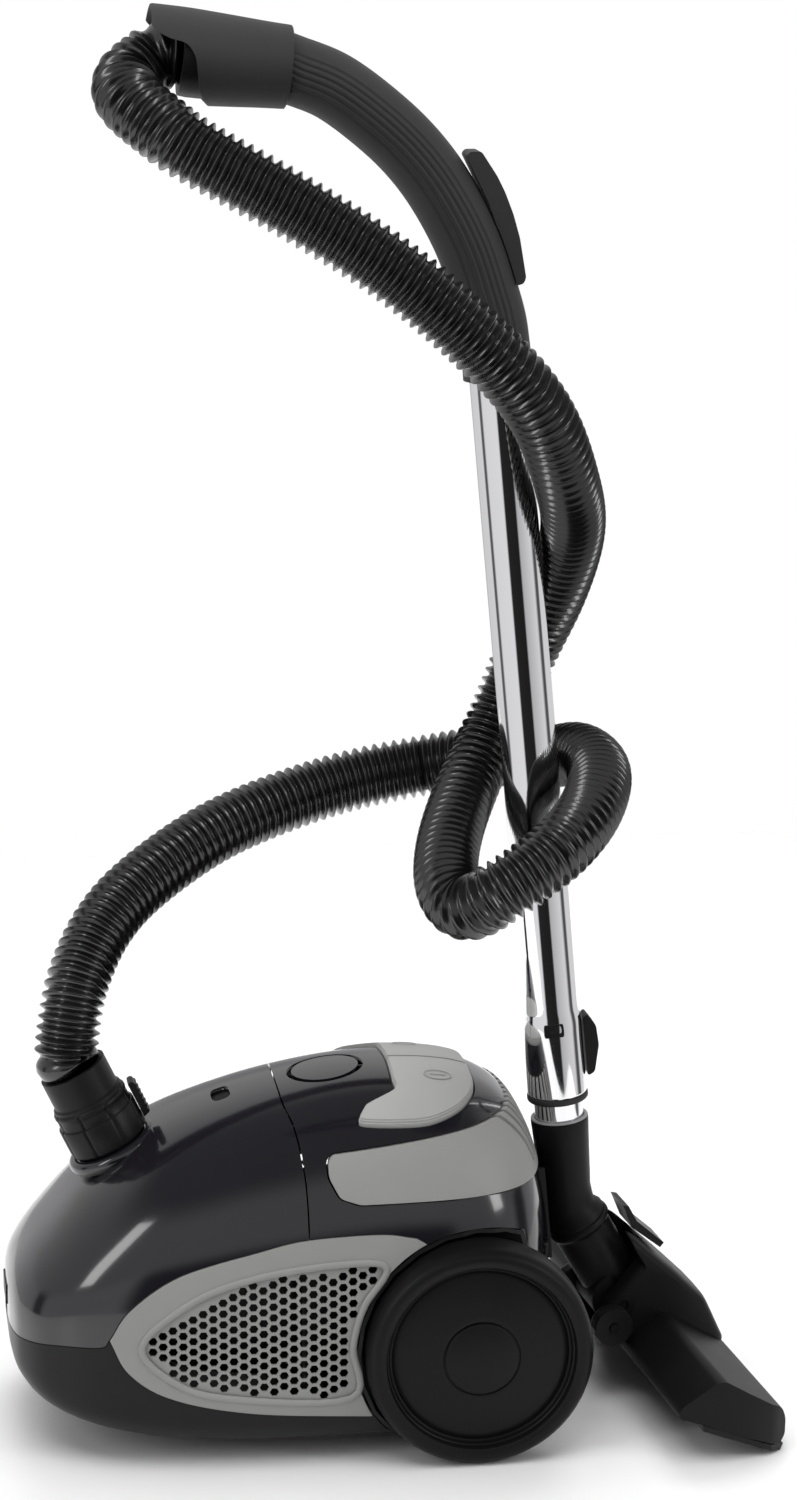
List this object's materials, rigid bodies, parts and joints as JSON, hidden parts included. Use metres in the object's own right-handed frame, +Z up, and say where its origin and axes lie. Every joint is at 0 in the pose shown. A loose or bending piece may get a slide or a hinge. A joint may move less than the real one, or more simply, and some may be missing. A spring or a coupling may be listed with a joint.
{
  "type": "canister vacuum cleaner",
  "caption": "Wheeled canister vacuum cleaner parked upright with corrugated hose, telescopic chrome wand, curved handle and floor head.",
  "frame": {"origin": "middle of the footprint of everything but the hose, on the floor", "axes": "+Z up, nose and caster towards -X, wand and floor head towards +X"},
  "size_m": [0.4753, 0.2945, 0.8795],
  "materials": {
    "gloss_black": "piano gloss",
    "dark_plastic": "fine grain",
    "grey_plastic": "satin light grey",
    "head_black": "matt black",
    "grip_black": "fine grain charcoal",
    "hose_black": "glossy corrugated",
    "tyre_black": "matt black",
    "rubber_black": "matt",
    "chrome": "polished",
    "steel": "satin",
    "aluminium": "satin",
    "copper_steel": "windings and laminations",
    "filter_white": "fleece",
    "paper": "kraft",
    "brush_fibre": "bristle strip",
    "signal_red": "satin red"
  },
  "bodies": {
    "chassis": {"base_tray": "dark_plastic", "rear_cover": "gloss_black", "side_panel_near": "grey_plastic", "side_panel_far": "grey_plastic", "exhaust_cover": "grey_plastic", "wheel_liner_near": "dark_plastic", "wheel_liner_far": "dark_plastic", "rear_axle": "steel", "bulkhead": "dark_plastic", "motor_filter": "filter_white", "motor_mount": "rubber_black", "motor_housing": "dark_plastic", "motor_stator": "copper_steel", "exhaust_filter": "filter_white", "reel_bracket": "steel", "bag_holder": "grey_plastic", "dust_bag": "paper", "inlet_seal": "rubber_black", "caster_housing": "dark_plastic", "parking_bracket": "dark_plastic", "cord_outlet": "rubber_black", "lid_hinge_pin": "steel", "hose_lower": "hose_black"},
    "lid": {"front_lid": "gloss_black", "indicator_window": "gloss_black"},
    "latch": {"lid_latch": "dark_plastic"},
    "flag": {"indicator_flag": "signal_red"},
    "cuff": {"hose_cuff": "dark_plastic"},
    "cuff_catch": {"cuff_latch": "dark_plastic"},
    "power_switch": {"power_pedal": "grey_plastic"},
    "rewind_switch": {"rewind_pedal": "grey_plastic"},
    "dial": {"suction_dial": "gloss_black"},
    "wheel_near": {"tyre_near": "tyre_black", "wheel_disc_near": "dark_plastic", "hub_cap_near": "dark_plastic"},
    "wheel_far": {"tyre_far": "tyre_black", "wheel_disc_far": "dark_plastic", "hub_cap_far": "dark_plastic"},
    "caster_swivel": {"caster_fork": "dark_plastic"},
    "caster_roller": {"caster_wheel": "dark_plastic"},
    "fan": {"fan_rotor": "aluminium"},
    "reel": {"cord_reel": "dark_plastic"},
    "wand": {"neck": "dark_plastic", "inner_tube": "chrome", "hose_middle": "hose_black"},
    "handle": {"outer_tube": "chrome", "collar_ring": "rubber_black", "grip_tube": "grip_black", "grip_socket": "grip_black", "hose_upper": "hose_black"},
    "tube_lock": {"lock_button": "dark_plastic"},
    "air_vent": {"air_slider": "dark_plastic"},
    "handle_swivel": {"hose_swivel": "dark_plastic"},
    "elbow": {"elbow": "dark_plastic"},
    "floor_head": {"head_shell": "head_black", "sole_plate": "dark_plastic"},
    "brush": {"brush_strip": "brush_fibre"},
    "head_wheel_near": {"head_wheel_near": "dark_plastic"},
    "head_wheel_far": {"head_wheel_far": "dark_plastic"},
    "head_pedal": {"brush_pedal": "dark_plastic"}
  },
  "joints": [
    {"name": "lid_hinge", "type": "hinge", "parent": "chassis", "child": "lid", "pos_m": [-0.047, -0.0069, 0.2075], "axis": [0, 1, 0], "range_deg": [0, 45], "deforming": ["hose_lower"]},
    {"name": "lid_latch_flip", "type": "hinge", "parent": "lid", "child": "latch", "pos_m": [-0.2325, -0.0069, 0.091], "axis": [0, 1, 0], "range_deg": [0, 10], "stiffness_Nm_per_rad": 0.1},
    {"name": "bag_flag_slide", "type": "slide", "parent": "lid", "child": "flag", "axis": [0, 1, 0], "range_m": [0, 0.008], "stiffness_N_per_m": 8},
    {"name": "cuff_turn", "type": "hinge", "parent": "lid", "child": "cuff", "pos_m": [-0.168, -0.0069, 0.1765], "axis": [-0.4226, 0, 0.9063], "continuous": true},
    {"name": "cuff_catch_press", "type": "slide", "parent": "cuff", "child": "cuff_catch", "axis": [0.4226, 0, -0.9063], "range_m": [0, 0.002], "stiffness_N_per_m": 600},
    {"name": "power_press", "type": "slide", "parent": "chassis", "child": "power_switch", "axis": [0, 0, -1], "range_m": [0, 0.004], "stiffness_N_per_m": 900},
    {"name": "rewind_press", "type": "slide", "parent": "chassis", "child": "rewind_switch", "axis": [0, 0, -1], "range_m": [0, 0.004], "stiffness_N_per_m": 900},
    {"name": "dial_turn", "type": "hinge", "parent": "chassis", "child": "dial", "pos_m": [-0.034, -0.0069, 0.22], "axis": [-0.1, 0, 0.995], "range_deg": [-150, 150]},
    {"name": "wheel_near_roll", "type": "hinge", "parent": "chassis", "child": "wheel_near", "pos_m": [0.0464, -0.0069, 0.0705], "axis": [0, 1, 0], "continuous": true},
    {"name": "wheel_far_roll", "type": "hinge", "parent": "chassis", "child": "wheel_far", "pos_m": [0.0464, -0.0069, 0.0705], "axis": [0, 1, 0], "continuous": true},
    {"name": "caster_turn", "type": "hinge", "parent": "chassis", "child": "caster_swivel", "pos_m": [-0.175, -0.0069, 0.035], "axis": [0, 0, 1], "continuous": true},
    {"name": "caster_roll", "type": "hinge", "parent": "caster_swivel", "child": "caster_roller", "pos_m": [-0.168, -0.0069, 0.0135], "axis": [0, 1, 0], "continuous": true},
    {"name": "fan_spin", "type": "hinge", "parent": "chassis", "child": "fan", "pos_m": [0.013, -0.0069, 0.066], "axis": [1, 0, 0], "continuous": true},
    {"name": "reel_spin", "type": "hinge", "parent": "chassis", "child": "reel", "pos_m": [0.019, -0.0069, 0.164], "axis": [0, 0, 1], "continuous": true},
    {"name": "wand_lift_off", "type": "slide", "parent": "chassis", "child": "wand", "axis": [0.1, 0, 0.995], "range_m": [0, 0.06], "deforming": ["hose_middle"]},
    {"name": "tube_telescope", "type": "slide", "parent": "wand", "child": "handle", "axis": [-0.0894, 0, 0.996], "range_m": [0, 0.25], "deforming": ["hose_upper"]},
    {"name": "tube_lock_press", "type": "slide", "parent": "handle", "child": "tube_lock", "axis": [-0.0894, 0, 0.996], "range_m": [0, 0.005], "stiffness_N_per_m": 600},
    {"name": "air_vent_slide", "type": "hinge", "parent": "handle", "child": "air_vent", "pos_m": [-0.137, -0.0069, 0.6542], "axis": [0, 1, 0], "range_deg": [0, 2]},
    {"name": "handle_swivel_turn", "type": "hinge", "parent": "handle", "child": "handle_swivel", "pos_m": [-0.052, -0.0069, 0.8415], "axis": [-0.9937, 0, 0.1122], "continuous": true},
    {"name": "elbow_turn", "type": "hinge", "parent": "wand", "child": "elbow", "pos_m": [0.12845, -0.00604, 0.111], "axis": [0.4817, 0.0532, -0.8747], "range_deg": [-5, 14]},
    {"name": "head_tilt", "type": "hinge", "parent": "elbow", "child": "floor_head", "pos_m": [0.15082, -0.00357, 0.061], "axis": [-0.1097, 0.994, 0], "range_deg": [-8, 35]},
    {"name": "head_pedal_rock", "type": "hinge", "parent": "floor_head", "child": "head_pedal", "pos_m": [0.18163, -0.00017, 0.092], "axis": [0.1097, -0.994, 0], "range_deg": [0, 5]},
    {"name": "brush_tip", "type": "hinge", "parent": "floor_head", "child": "brush", "pos_m": [0.203, 0.00219, 0.0053], "axis": [-0.1097, 0.994, 0], "range_deg": [0, 6]},
    {"name": "head_wheel_near_roll", "type": "hinge", "parent": "floor_head", "child": "head_wheel_near", "pos_m": [0.14088, -0.00467, 0.051], "axis": [-0.1097, 0.994, 0], "continuous": true},
    {"name": "head_wheel_far_roll", "type": "hinge", "parent": "floor_head", "child": "head_wheel_far", "pos_m": [0.14088, -0.00467, 0.051], "axis": [-0.1097, 0.994, 0], "continuous": true}
  ],
  "couplings": [
    {"joint": "brush_tip", "follows": "head_pedal_rock", "ratio": 1.2}
  ]
}
